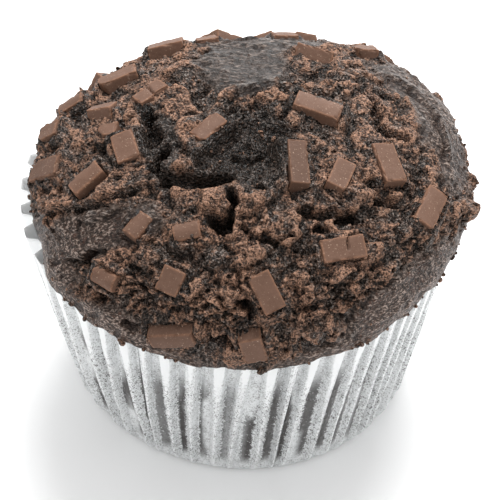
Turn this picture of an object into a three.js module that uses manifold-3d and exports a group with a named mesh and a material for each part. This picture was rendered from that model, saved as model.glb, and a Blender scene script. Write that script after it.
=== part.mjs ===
// A large double-chocolate muffin in its pleated greaseproof case, with cut chocolate chunks in the crown.
// Millimetres, +Z up. The origin is the middle of the case's underside, on the table. -Y is the front.
import * as THREE from "three";
import { mergeVertices } from "three/addons/utils/BufferGeometryUtils.js";
import Module from "manifold-3d";

const wasm = await Module();
wasm.setup();

const DEG = Math.PI / 180;
const { cos, sin, hypot, min, max, abs, floor } = Math;

// Paper case: outer radii are at the pleats' ridges
const PAPER = 0.35;
const GAP = 0.3;
const BASE_RADIUS = 28.6;
const RIM_RADIUS = 36;
const RIM_HEIGHT = 38.1;
const FOOT_RADIUS = 25.8;
const FOOT_RISE = 3;
const FOOT_DENT = 0.9;
const FOOT_DENT_BEARING = -125 * DEG;
const PLEATS = 54;
const PLEAT_DEPTH_BASE = 0.7;
const PLEAT_DEPTH_RIM = 1.5;
const PLEAT_TWIST = 5 * DEG;

// Crown: the domed top, its widest level and its drooping lower edge
const CROWN_X = 1.7;
const CROWN_Y = -2.5;
const CROWN_RADIUS = 34.3;
const SHOULDER_HEIGHT = 43.1;
const TOP_HEIGHT = 59.6;
const DOME_POWER = 1.16;
const DOME_LENGTH = 41.5;
const LIP_FREE_HEIGHT = 38.7;
const LIP_LOW_HEIGHT = 33.7;
const LIP_LOW_BEARING = -80 * DEG;
const LIP_RISE = 7.9;
const LIP_PROUD = 0.9;

// Surface grid: rings on the dome, each with six more points than the last, then rings down the side
const DOME_RINGS = 27;
const SIDE_RINGS = 4;

// Chocolate chunks
const CHUNK_THICKNESS = 3.1;
const CHUNK_BEVEL = 0.35;

// Relief of the crown: clods of torn crumb, ripples in the skin and a slow swell, as sizes and heights
const COARSE_CLOD = 5;
const COARSE_HEIGHT = 1.5;
const FINE_CLOD = 2.7;
const FINE_HEIGHT = 0.7;
const RIPPLE_HEIGHT = 0.2;
const SWELL_HEIGHT = 0.35;
const RELIEF_LOWEST = -4.6;
const RELIEF_HIGHEST = 2.6;

// The skin is unbroken beyond this length from the top, and a little farther out at the front
const SKIN_FROM = 43;
const SKIN_FULL = 47;
const SKIN_FRONT_SHIFT = 6;

const lerp = (a, b, t) => a + (b - a) * t;
const clamp01 = (t) => min(1, max(0, t));

function smoothstep(from, to, value) {
  const t = clamp01((value - from) / (to - from));
  return t * t * (3 - 2 * t);
}

// A repeatable random number from 0 to 1 for a grid cell
function hash(ix, iy, seed) {
  const value = sin(ix * 127.1 + iy * 311.7 + seed * 74.7) * 43758.5453;
  return value - floor(value);
}

// Brings an angle into the turn from -180 to 180 degrees
function wrapped(angle) {
  return Math.atan2(sin(angle), cos(angle));
}

// The crown's features lie on its unrolled map: millimetres along the skin from the top, +x right, +y back.

// Furrows and pits torn into the crumb, each a line of map points with a half width and a depth
const FURROWS = [
  { line: [[-14.5, 1.2], [-13.1, -5.5], [-12.4, -9.3], [-11, -12.6]], half: 1.7, depth: 3.2 },
  { line: [[-11, -12.6], [-8.5, -14.6]], half: 1.6, depth: 3.2 },
  { line: [[-8.5, -14.6], [-5.5, -15.4], [-3.5, -17], [-3.9, -20.2]], half: 1.6, depth: 3 },
  { line: [[17, 4.6], [17.3, 1.5], [18.3, -3.7]], half: 1.1, depth: 2.2 },
  { line: [[4.4, 3.4], [8, 4], [11.3, 3.3]], half: 1, depth: 1.6 },
  { line: [[12, 8.2], [15, 6.8], [16.7, 5.1]], half: 0.9, depth: 1.6 },
  { line: [[8.6, -17.4], [11.2, -18], [14.2, -18.1], [17.5, -17.2], [19.3, -15.5]], half: 1.5, depth: 2.4 },
  { line: [[0, -34.2], [0.8, -37.2]], half: 1.5, depth: 2.6 },
  { line: [[6, -36.4], [6.8, -37.6]], half: 1.2, depth: 1.8 },
  { line: [[-7.5, -44.6], [-3.6, -44.4]], half: 1.2, depth: 1.8 },
  { line: [[4.5, -48], [9, -48.4]], half: 1, depth: 1.2 },
  { line: [[-23.8, -38.6], [-22, -40.6]], half: 1.3, depth: 1.8 },
  { line: [[-28.6, -22.6], [-31.6, -25.4], [-31.2, -29.4], [-30.6, -31.6]], half: 1.3, depth: 1.8 },
  { line: [[-19.8, -3.6], [-21.8, -4.2]], half: 1.1, depth: 1.4 },
  { line: [[9.4, -21.2], [11.4, -21.8]], half: 1.1, depth: 1.6 },
  { line: [[23, -22.4], [24.6, -21.6]], half: 1.1, depth: 1.6 },
  { line: [[24, -12.2], [25.4, -9.6]], half: 1.1, depth: 1.4 },
];

// Swellings and hollows, each an ellipse on the map, turned by an angle, with a height
const MOUNDS = [
  { at: [-0.6, -8], radii: [9.4, 7.4], turn: 52, height: -2.8 },
  { at: [2, 1], radii: [3.4, 1.8], turn: 30, height: -1.2 },
  { at: [-6.8, -4.6], radii: [5.8, 4], turn: 38, height: 2.2 },
  { at: [-3, 2.6], radii: [5, 2], turn: 42, height: 1 },
  { at: [21.9, -19.4], radii: [3.2, 2.8], turn: 0, height: 1.9 },
  { at: [41.2, -5.6], radii: [3.2, 4.4], turn: 0, height: 2.6 },
  { at: [14.6, -14.4], radii: [5, 2], turn: 8, height: 0.9 },
  { at: [4.6, -21.4], radii: [4, 3], turn: -20, height: 1.1 },
  { at: [-6.2, -18], radii: [2.4, 3], turn: 0, height: 1.4 },
  { at: [-14.6, -24.8], radii: [3.6, 3], turn: 10, height: 1 },
  { at: [-3, -31], radii: [3.4, 4], turn: 20, height: 1 },
  { at: [14, -40.8], radii: [6.6, 3.6], turn: 10, height: 1 },
  { at: [10, -28], radii: [6, 3.2], turn: 12, height: 0.7 },
  { at: [21, 27], radii: [8, 4], turn: -30, height: 0.6 },
  { at: [-31, 9], radii: [14, 9], turn: 68, height: -1.3 },
];

// Edges of torn crust and folded skin. The crust beside the line stands up and falls away over its reach:
// on the line's left where the rise is positive, on its right where it is negative.
const TORN_EDGES = [
  { line: [[-12, -12.5], [-16.9, -12.8], [-22.5, -13.6], [-32.4, -12]], rise: -1.3, reach: 4 },
  { line: [[5, 5], [0.7, 4.1], [-2.7, 1.6], [-5.1, -1]], rise: -1.5, reach: 5 },
  { line: [[7.5, -45], [12, -42.4], [17, -40.6], [21, -41.2]], rise: 0.8, reach: 2.5 },
  { line: [[16.4, 7.2], [20.4, 7.2], [22.9, 3.8], [25, -0.5]], rise: 0.7, reach: 3 },
  { line: [[18, 13.5], [24.1, 11.6], [28.6, 6.4], [31, 0]], rise: 0.7, reach: 3.4 },
];

// Smooth baked skin; everywhere else the crown is torn, open crumb
const SKINS = [
  { at: [-1.4, 10.4], radii: [8.2, 8.6], turn: 0 },
  { at: [26.5, 6.5], radii: [13, 7], turn: -55 },
  { at: [-26, -18.6], radii: [14, 4.4], turn: 4 },
  { at: [-38, -20], radii: [12, 6], turn: 95 },
  { at: [32, -31], radii: [19, 7.6], turn: 52 },
  { at: [-28, -39], radii: [12, 4.6], turn: -42 },
  { at: [2, 38], radii: [30, 9], turn: 0 },
  { at: [-30, 32], radii: [12, 7], turn: 45 },
];

// Chunks that show: map place, heading of the long side, length, width, height standing out, pitch and roll
const CHUNKS = [
  { at: [-13.2, 20.6], heading: 4, size: [6, 3.8], out: 1.2, pitch: 0, roll: 0 },
  { at: [-7, 22.4], heading: 18, size: [3.6, 3], out: 0.5, pitch: 0, roll: 0 },
  { at: [-19, 10.9], heading: 10, size: [6.6, 3.4], out: 1.2, pitch: 0, roll: 0 },
  { at: [-13.7, 3.9], heading: 38, size: [5.6, 3.1], out: 1.1, pitch: 0, roll: 0 },
  { at: [-27, 9.6], heading: 2, size: [4.7, 2.8], out: 0.9, pitch: 0, roll: 8 },
  { at: [-20.2, 2.4], heading: -14, size: [4.4, 3], out: 1.7, pitch: 0, roll: -26 },
  { at: [-19.3, -1.6], heading: -15, size: [3.2, 2.8], out: 1.1, pitch: 0, roll: 0 },
  { at: [-16.9, -5.7], heading: -80, size: [5.4, 3.8], out: 1.4, pitch: -10, roll: 0 },
  { at: [-30.2, 4.1], heading: -18, size: [4.2, 3.2], out: 1.3, pitch: 0, roll: 6 },
  { at: [-30.4, -3.9], heading: -22, size: [7.2, 3.6], out: 1.3, pitch: 6, roll: 6 },
  { at: [-23, -9.1], heading: 28, size: [5.9, 3.1], out: 1.5, pitch: 0, roll: 0 },
  { at: [-6.2, -5.3], heading: 39, size: [5.7, 3.2], out: 1.2, pitch: 0, roll: 0 },
  { at: [-16, -19.3], heading: 46, size: [4.3, 3.2], out: 1.8, pitch: -8, roll: 0 },
  { at: [-9, -21.2], heading: 5, size: [4.4, 3.1], out: 1.5, pitch: 0, roll: 0 },
  { at: [9.2, 13.4], heading: -26, size: [6.4, 3.4], out: 1.4, pitch: 0, roll: -25 },
  { at: [9.5, -0.4], heading: -15, size: [7.7, 3.7], out: 1.5, pitch: 0, roll: 0 },
  { at: [6.5, -11.4], heading: -82, size: [8.2, 3.2], out: 1.4, pitch: 0, roll: -8 },
  { at: [12.4, -12.3], heading: -107, size: [5.4, 3.3], out: 1.8, pitch: 0, roll: 0 },
  { at: [19.2, -8], heading: -67, size: [7.2, 3.9], out: 1.3, pitch: 0, roll: 0 },
  { at: [27.6, -13.2], heading: -112, size: [7.3, 3.7], out: 1.2, pitch: 0, roll: 12 },
  { at: [17.5, 21.2], heading: 10, size: [4, 3.4], out: 0.9, pitch: 14, roll: 0 },
  { at: [13.4, -23.6], heading: 15, size: [7.3, 3.7], out: 1.4, pitch: 0, roll: 0 },
  { at: [5.2, 22.6], heading: 8, size: [4.2, 3], out: 0.5, pitch: 0, roll: 0 },
  { at: [-23.8, -27.2], heading: -32, size: [4.4, 3], out: 1.9, pitch: 0, roll: 0 },
  { at: [-12.3, -29.1], heading: -118, size: [4.1, 3.8], out: 1.1, pitch: 0, roll: 0 },
  { at: [-14.3, -42], heading: -4, size: [7.6, 3.4], out: 1.6, pitch: 0, roll: 20 },
  { at: [2.4, -31.7], heading: -63, size: [6.4, 3.6], out: 1.6, pitch: 0, roll: 0 },
  { at: [1.1, -44.8], heading: -76, size: [5.8, 3.7], out: 1.3, pitch: -10, roll: 0 },
];

// Chunks on the side that faces away: spread by a seeded rule between two bearings
const BACK_CHUNKS = 9;
const BACK_FROM = 42;
const BACK_TO = 158;

// Distance to a line of map points, and the side it lies on: 1 on the left, -1 on the right
function toLine(x, y, line) {
  let nearest = Infinity;
  let side = 1;
  for (let i = 1; i < line.length; i++) {
    const [ax, ay] = line[i - 1];
    const dx = line[i][0] - ax;
    const dy = line[i][1] - ay;
    const t = clamp01(((x - ax) * dx + (y - ay) * dy) / (dx * dx + dy * dy));
    const away = hypot(x - ax - dx * t, y - ay - dy * t);
    if (away < nearest) {
      nearest = away;
      side = dx * (y - ay) - dy * (x - ax) >= 0 ? 1 : -1;
    }
  }
  return { away: nearest, side };
}

// 1 in the middle of a turned ellipse, 0 at its edge, negative outside
function inside(x, y, { at, radii, turn }) {
  const dx = x - at[0];
  const dy = y - at[1];
  const along = dx * cos(turn * DEG) + dy * sin(turn * DEG);
  const across = dy * cos(turn * DEG) - dx * sin(turn * DEG);
  return 1 - hypot(along / radii[0], across / radii[1]);
}

// Rounded clods of crumb: 0 in the cracks between them, 1 on their backs
function clods(x, y, cell, seed) {
  const wx = x / cell + 0.35 * sin(y * 0.5 + seed);
  const wy = y / cell + 0.35 * sin(x * 0.45 + seed * 2);
  const ix = floor(wx);
  const iy = floor(wy);
  let first = 9;
  let second = 9;
  for (let i = ix - 1; i <= ix + 1; i++)
    for (let j = iy - 1; j <= iy + 1; j++) {
      const away = hypot(i + hash(i, j, seed) - wx, j + hash(i, j, seed + 1) - wy);
      if (away < first) {
        second = first;
        first = away;
      } else second = min(second, away);
    }
  return smoothstep(0, 0.55, second - first);
}

// 0 on smooth skin, 1 on torn crumb
function tornAt(x, y) {
  const shift = SKIN_FRONT_SHIFT * smoothstep(-20, -40, y) * smoothstep(30, 0, abs(x));
  let skin = smoothstep(SKIN_FROM, SKIN_FULL, hypot(x, y) - shift);
  for (const patch of SKINS) skin = max(skin, smoothstep(-0.1, 0.16, inside(x, y, patch)));
  return 1 - skin;
}

// Height of the relief over the smooth crown, in millimetres
function reliefAt(x, y) {
  const torn = tornAt(x, y);
  let height = SWELL_HEIGHT * sin(x * 0.31 + 1) * sin(y * 0.27 + 2);
  height += COARSE_HEIGHT * torn * (clods(x, y, COARSE_CLOD, 3) - 0.75);
  height += FINE_HEIGHT * torn * (clods(x, y, FINE_CLOD, 11) - 0.6);
  height += RIPPLE_HEIGHT * (1 - torn) * sin(y * 1.1 + 0.8 * sin(x * 0.23));
  for (const mound of MOUNDS) height += mound.height * smoothstep(0, 0.7, inside(x, y, mound));
  for (const { line, half, depth } of FURROWS) {
    const { away } = toLine(x, y, line);
    height -= depth * smoothstep(half * 1.6, half * 0.3, away);
  }
  for (const { line, rise, reach } of TORN_EDGES) {
    const { away, side } = toLine(x, y, line);
    if (side === Math.sign(rise)) height += abs(rise) * smoothstep(reach, 0, away);
    else height -= 0.5 * abs(rise) * smoothstep(reach * 0.5, 0, away);
  }
  return min(RELIEF_HIGHEST, max(RELIEF_LOWEST, height));
}

// Widest radius of the crown about its own axis
function crownRadius(bearing) {
  return (
    CROWN_RADIUS +
    1.1 * cos(2 * bearing) +
    0.5 * sin(2 * bearing) -
    0.3 * cos(3 * bearing) +
    0.4 * sin(3 * bearing)
  );
}

// Outer radius of the case at its ridges, and the depth of its pleats, at a height
function caseRadius(z) {
  return BASE_RADIUS + ((RIM_RADIUS - BASE_RADIUS) * (z - FOOT_RISE)) / (RIM_HEIGHT - FOOT_RISE);
}

function pleatDepth(z) {
  return lerp(PLEAT_DEPTH_BASE, PLEAT_DEPTH_RIM, clamp01((z - FOOT_RISE) / (RIM_HEIGHT - FOOT_RISE)));
}

// Radius of the cake inside the case
function neckRadius(z) {
  return caseRadius(z) - pleatDepth(z) - PAPER - GAP;
}

// 1 where the crown hangs out over the rim (front and right), 0 where the rim stands free
function overhang(bearing) {
  const degrees = wrapped(bearing) / DEG;
  return smoothstep(-160, -143, degrees) * smoothstep(48, 20, degrees);
}

// Height of the crown's lower edge
function lipHeight(bearing) {
  const away = min(abs(wrapped(bearing - LIP_LOW_BEARING)), Math.PI / 2);
  return min(LIP_FREE_HEIGHT, LIP_LOW_HEIGHT + LIP_RISE * (1 - cos(away)));
}

function lipRadius(bearing) {
  const height = lipHeight(bearing);
  return lerp(neckRadius(min(height, RIM_HEIGHT)), caseRadius(height) + LIP_PROUD, overhang(bearing));
}

// Point of the smooth crown at a bearing and a length along the skin from the top
function crownPoint(bearing, length) {
  const radius = crownRadius(bearing);
  if (length <= DOME_LENGTH) {
    const angle = ((length / DOME_LENGTH) * Math.PI) / 2;
    const out = radius * sin(angle) ** DOME_POWER;
    const rise = (TOP_HEIGHT - SHOULDER_HEIGHT) * max(0, cos(angle)) ** DOME_POWER;
    return new THREE.Vector3(
      CROWN_X + out * cos(bearing),
      CROWN_Y + out * sin(bearing),
      SHOULDER_HEIGHT + rise,
    );
  }
  const low = lipHeight(bearing);
  const down = clamp01((length - DOME_LENGTH) / (SHOULDER_HEIGHT - low));
  const shoulder = new THREE.Vector3(
    CROWN_X + radius * cos(bearing),
    CROWN_Y + radius * sin(bearing),
    SHOULDER_HEIGHT,
  );
  const lip = new THREE.Vector3(lipRadius(bearing) * cos(bearing), lipRadius(bearing) * sin(bearing), low);
  const bulge = 0.5 * sin(down * Math.PI);
  return shoulder.lerp(lip, down).add(new THREE.Vector3(bulge * cos(bearing), bulge * sin(bearing), 0));
}

function mapPoint(x, y) {
  return crownPoint(Math.atan2(y, x), hypot(x, y));
}

// Axes of the smooth crown at a map place: to the right, to the back, and out of the skin
function mapAxes(x, y) {
  const step = 0.4;
  const right = mapPoint(x + step, y).sub(mapPoint(x - step, y)).normalize();
  const back = mapPoint(x, y + step).sub(mapPoint(x, y - step)).normalize();
  const out = right.clone().cross(back).normalize();
  return { right, out };
}

// Crown surface with its relief, which fades out at the lower edge
function surfacePoint(bearing, length) {
  const x = length * cos(bearing);
  const y = length * sin(bearing);
  const room = SHOULDER_HEIGHT - lipHeight(bearing);
  const fade = smoothstep(DOME_LENGTH + room, DOME_LENGTH + room - 4, length);
  const { out } = mapAxes(x || 0.01, y);
  return crownPoint(bearing, length).addScaledVector(out, fade * reliefAt(x, y));
}

// Closed loop of points round the axis
function ring(count, pointAt) {
  return Array.from({ length: count }, (_, i) => pointAt((i / count) * 2 * Math.PI));
}

// Joins a run of loops, each with any number of points, into one closed surface
function skinLoops(loops) {
  const points = loops.flat();
  const faces = [];
  let first = 0;
  for (let k = 1; k < loops.length; k++) {
    const n = loops[k - 1].length;
    const m = loops[k].length;
    const next = first + n;
    let i = 0;
    let j = 0;
    while (i < (n > 1 ? n : 0) || j < (m > 1 ? m : 0)) {
      const a = first + (i % n);
      const b = next + (j % m);
      if (j >= m || m === 1 || (n > 1 && i < n && (i + 1) * m <= (j + 0.999) * n)) {
        faces.push(a, b, first + ((i + 1) % n));
        i++;
      } else {
        faces.push(a, b, next + ((j + 1) % m));
        j++;
      }
    }
    first = next;
  }
  const numbers = points.flatMap((point) => point.toArray());
  const geometry = new THREE.BufferGeometry();
  geometry.setAttribute("position", new THREE.Float32BufferAttribute(numbers, 3));
  geometry.setIndex(faces);
  return geometry;
}

function cakeGeometry() {
  const loops = [[surfacePoint(0, 0)]];
  for (let k = 1; k <= DOME_RINGS; k++)
    loops.push(ring(6 * k, (bearing) => surfacePoint(bearing, (DOME_LENGTH * k) / DOME_RINGS)));
  const count = 6 * DOME_RINGS;
  for (let k = 1; k <= SIDE_RINGS; k++)
    loops.push(
      ring(count, (bearing) => {
        const room = SHOULDER_HEIGHT - lipHeight(bearing);
        return surfacePoint(bearing, DOME_LENGTH + (room * k) / SIDE_RINGS);
      }),
    );
  const levels = [
    (bearing) => lipHeight(bearing) + lerp(-0.7, 0.3, overhang(bearing)),
    () => FOOT_RISE + 1.2,
  ];
  for (const level of levels)
    loops.push(
      ring(count, (bearing) => {
        const z = level(bearing);
        const radius = neckRadius(min(z, RIM_HEIGHT)) - FOOT_DENT * smoothstep(16, 2, z);
        return new THREE.Vector3(radius * cos(bearing), radius * sin(bearing), z);
      }),
    );
  const floorHeight = PAPER + GAP;
  const foot = FOOT_RADIUS - 2;
  loops.push(ring(count / 3, (b) => new THREE.Vector3(foot * cos(b), foot * sin(b), floorHeight)));
  loops.push([new THREE.Vector3(0, 0, floorHeight)]);
  return skinLoops(loops);
}

// Rim height: the paper's edge stands free at the left and back, and ends under the overhang elsewhere
function rimHeight(bearing) {
  return min(RIM_HEIGHT, lipHeight(bearing) - 0.55);
}

// One loop of the pleated wall: ridges and valleys by turns, leaning round as they rise
function pleatLoop(heightAt, radiusAt, depthAt, inset) {
  return Array.from({ length: 2 * PLEATS }, (_, i) => {
    const rimBearing = (i / PLEATS) * Math.PI;
    const z = heightAt(rimBearing);
    const bearing = rimBearing - PLEAT_TWIST * (1 - z / RIM_HEIGHT);
    const dent = FOOT_DENT * max(0, cos(bearing - FOOT_DENT_BEARING)) ** 4 * smoothstep(16, 2, z);
    const radius = radiusAt(z) - (i % 2) * depthAt(z) - dent - inset;
    const raised = z < FOOT_RISE ? z + inset : z;
    return new THREE.Vector3(radius * cos(bearing), radius * sin(bearing), raised);
  });
}

function caseGeometry() {
  const middle = (RIM_HEIGHT + FOOT_RISE) / 2;
  const wall = (inset) => [
    pleatLoop(() => 0, () => FOOT_RADIUS, () => 0, inset),
    pleatLoop(() => 0.9, () => lerp(FOOT_RADIUS, BASE_RADIUS, 0.75), () => PLEAT_DEPTH_BASE / 2, inset),
    pleatLoop(() => FOOT_RISE, caseRadius, pleatDepth, inset),
    pleatLoop((b) => min(middle, rimHeight(b) - 2), caseRadius, pleatDepth, inset),
    pleatLoop(rimHeight, caseRadius, pleatDepth, inset),
  ];
  const inner = wall(PAPER);
  const outer = wall(0).reverse();
  return skinLoops([
    [new THREE.Vector3(0, 0, PAPER)],
    ...inner,
    ...outer,
    [new THREE.Vector3(0, 0, 0)],
  ]);
}

// A bar of chocolate cut across: four uneven corners, one of them nipped off, and soft edges
function chunkGeometry([length, width], seed, swell) {
  const corners = [[-1, -1], [1, -1], [1, 1], [-1, 1]].map(([sx, sy], i) => [
    (sx * length * (1 - 0.09 * hash(i, seed, 5))) / 2,
    (sy * width * (1 - 0.1 * hash(i, seed, 6))) / 2,
  ]);
  const outline = corners.flatMap(([x, y], i) => {
    if (i !== seed % 4) return [[x, y]];
    const nipped = [[x, 0.7 * y], [0.8 * x, y]];
    return i % 2 ? nipped.reverse() : nipped;
  });
  const shape = new THREE.Shape(outline.map(([x, y]) => new THREE.Vector2(x, y)));
  const geometry = new THREE.ExtrudeGeometry(shape, {
    depth: CHUNK_THICKNESS - 2 * CHUNK_BEVEL,
    bevelThickness: CHUNK_BEVEL,
    bevelSize: CHUNK_BEVEL,
    bevelOffset: -CHUNK_BEVEL,
    bevelSegments: 1,
  });
  geometry.translate(0, 0, CHUNK_BEVEL - CHUNK_THICKNESS / 2);
  geometry.scale(1 + (2 * swell) / width, 1 + (2 * swell) / width, 1 + (2 * swell) / CHUNK_THICKNESS);
  return geometry;
}

// Lays a chunk on the crown: flat on the skin, turned to its heading, tipped, and sunk to its height
function placeChunk(mesh, { at, heading, out, pitch, roll }) {
  const axes = mapAxes(...at);
  const along = axes.right.clone().applyAxisAngle(axes.out, heading * DEG);
  const across = axes.out.clone().cross(along);
  const basis = new THREE.Matrix4().makeBasis(along, across, axes.out);
  const tip = new THREE.Quaternion().setFromEuler(new THREE.Euler(roll * DEG, -pitch * DEG, 0));
  mesh.quaternion.setFromRotationMatrix(basis).multiply(tip);
  mesh.position.copy(mapPoint(...at)).addScaledVector(axes.out, out - CHUNK_THICKNESS / 2);
}

// Chunks of the far side: an even spread, shaken by a seeded draw
function backChunks() {
  return Array.from({ length: BACK_CHUNKS }, (_, i) => {
    const shake = (n) => hash(i, n, 21) - 0.5;
    const bearing = lerp(BACK_FROM, BACK_TO, (i + 0.5) / BACK_CHUNKS) + 6 * shake(1);
    const length = (i % 2 ? 40.5 : 35.5) + 2 * shake(2);
    return {
      at: [length * cos(bearing * DEG), length * sin(bearing * DEG)],
      heading: 180 * hash(i, 3, 21),
      size: [6.4 + 2 * shake(4), 3.8 + 0.4 * shake(5)],
      out: 0.6 + 0.5 * shake(6),
      pitch: 10 * shake(7),
      roll: 10 * shake(8),
    };
  });
}

function toSolid(mesh) {
  mesh.updateMatrix();
  const geometry = mesh.geometry.clone().applyMatrix4(mesh.matrix);
  for (const name of ["normal", "uv"]) geometry.deleteAttribute(name);
  const merged = mergeVertices(geometry, 1e-4);
  return new wasm.Manifold(
    new wasm.Mesh({
      numProp: 3,
      vertProperties: new Float32Array(merged.attributes.position.array),
      triVerts: new Uint32Array(merged.index.array),
    }),
  );
}

function toGeometry(solid) {
  const { vertProperties, triVerts } = solid.getMesh();
  const geometry = new THREE.BufferGeometry();
  geometry.setAttribute("position", new THREE.BufferAttribute(vertProperties, 3));
  geometry.setIndex(new THREE.BufferAttribute(triVerts, 1));
  geometry.computeVertexNormals();
  return geometry;
}

const cakeMaterial = new THREE.MeshStandardMaterial({ color: 0x4a3a33, roughness: 0.85, metalness: 0 });
const paperMaterial = new THREE.MeshStandardMaterial({ color: 0xd8dada, roughness: 0.7, metalness: 0 });
const chocolateMaterial = new THREE.MeshStandardMaterial({ color: 0x72543f, roughness: 0.5, metalness: 0 });

const group = new THREE.Group();

const paperCase = new THREE.Mesh(caseGeometry(), paperMaterial);
paperCase.name = "paper_case";
group.add(paperCase);

let cake = toSolid(new THREE.Mesh(cakeGeometry()));
[...CHUNKS, ...backChunks()].forEach((chunk, i) => {
  const mesh = new THREE.Mesh(chunkGeometry(chunk.size, i, 0), chocolateMaterial);
  mesh.name = "chunk_" + String(i + 1).padStart(2, "0");
  placeChunk(mesh, chunk);
  group.add(mesh);
  const pocket = new THREE.Mesh(chunkGeometry(chunk.size, i, GAP));
  placeChunk(pocket, chunk);
  cake = cake.subtract(toSolid(pocket));
});

// A crumb that two pockets cut off is dropped
const bodies = cake.decompose().sort((a, b) => b.volume() - a.volume());
const muffin = new THREE.Mesh(toGeometry(bodies[0]), cakeMaterial);
muffin.name = "muffin";
group.add(muffin);

export default group;
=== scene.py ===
from math import cos, pi, radians, sin

import bmesh
import bpy
import numpy as np
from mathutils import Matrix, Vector


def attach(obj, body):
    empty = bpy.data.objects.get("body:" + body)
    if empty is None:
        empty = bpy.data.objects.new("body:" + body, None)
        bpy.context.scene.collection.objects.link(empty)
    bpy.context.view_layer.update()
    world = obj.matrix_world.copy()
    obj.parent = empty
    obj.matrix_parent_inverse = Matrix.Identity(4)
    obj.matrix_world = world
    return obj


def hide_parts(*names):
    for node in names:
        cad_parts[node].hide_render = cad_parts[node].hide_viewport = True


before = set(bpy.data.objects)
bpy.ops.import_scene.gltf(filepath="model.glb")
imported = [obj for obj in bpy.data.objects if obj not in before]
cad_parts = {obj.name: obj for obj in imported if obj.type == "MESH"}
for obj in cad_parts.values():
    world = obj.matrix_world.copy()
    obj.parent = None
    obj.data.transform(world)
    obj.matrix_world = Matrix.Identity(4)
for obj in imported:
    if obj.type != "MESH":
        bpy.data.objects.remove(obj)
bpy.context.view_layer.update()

MM = 0.001
rng = np.random.default_rng(20)

# The case and the crown, as in the solid model
BASE_RADIUS = 28.6
RIM_RADIUS = 36.0
RIM_HEIGHT = 38.1
FOOT_RADIUS = 25.8
FOOT_RISE = 3.0
FOOT_DENT = 0.9
FOOT_DENT_BEARING = radians(-125)
PLEATS = 54
PLEAT_DEPTH_BASE = 0.7
PLEAT_DEPTH_RIM = 1.5
PLEAT_TWIST = radians(5)
CROWN_X = 1.7
CROWN_Y = -2.5
CROWN_RADIUS = 34.3
SHOULDER_HEIGHT = 43.1
TOP_HEIGHT = 59.6
DOME_POWER = 1.16
DOME_LENGTH = 41.5
LIP_FREE_HEIGHT = 38.7
LIP_LOW_HEIGHT = 33.7
LIP_LOW_BEARING = radians(-80)
LIP_RISE = 7.9
LIP_PROUD = 0.9
CHUNK_THICKNESS = 3.1

# The wall of the solid model's case with the gap inside it. The cake's bottom lies as far above the floor.
CASE_ROOM = 0.65

# Furrows go this many times deeper here than in the solid model, and the relief stays between two heights
FURROW_DEEPER = 1.15
RELIEF_LOWEST = -6.6
RELIEF_HIGHEST = 2.6

# Baked skin covers the side of the crown from these lengths down the map, further down at the front
SKIN_FROM = 43
SKIN_FULL = 47
SKIN_FRONT_SHIFT = 6

# The fine surface grid of the crown, and how often a height is averaged over it to tell low from high
DOME_RINGS = 138
SIDE_RINGS = 26
CAVITY_ROUNDS = 14

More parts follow.
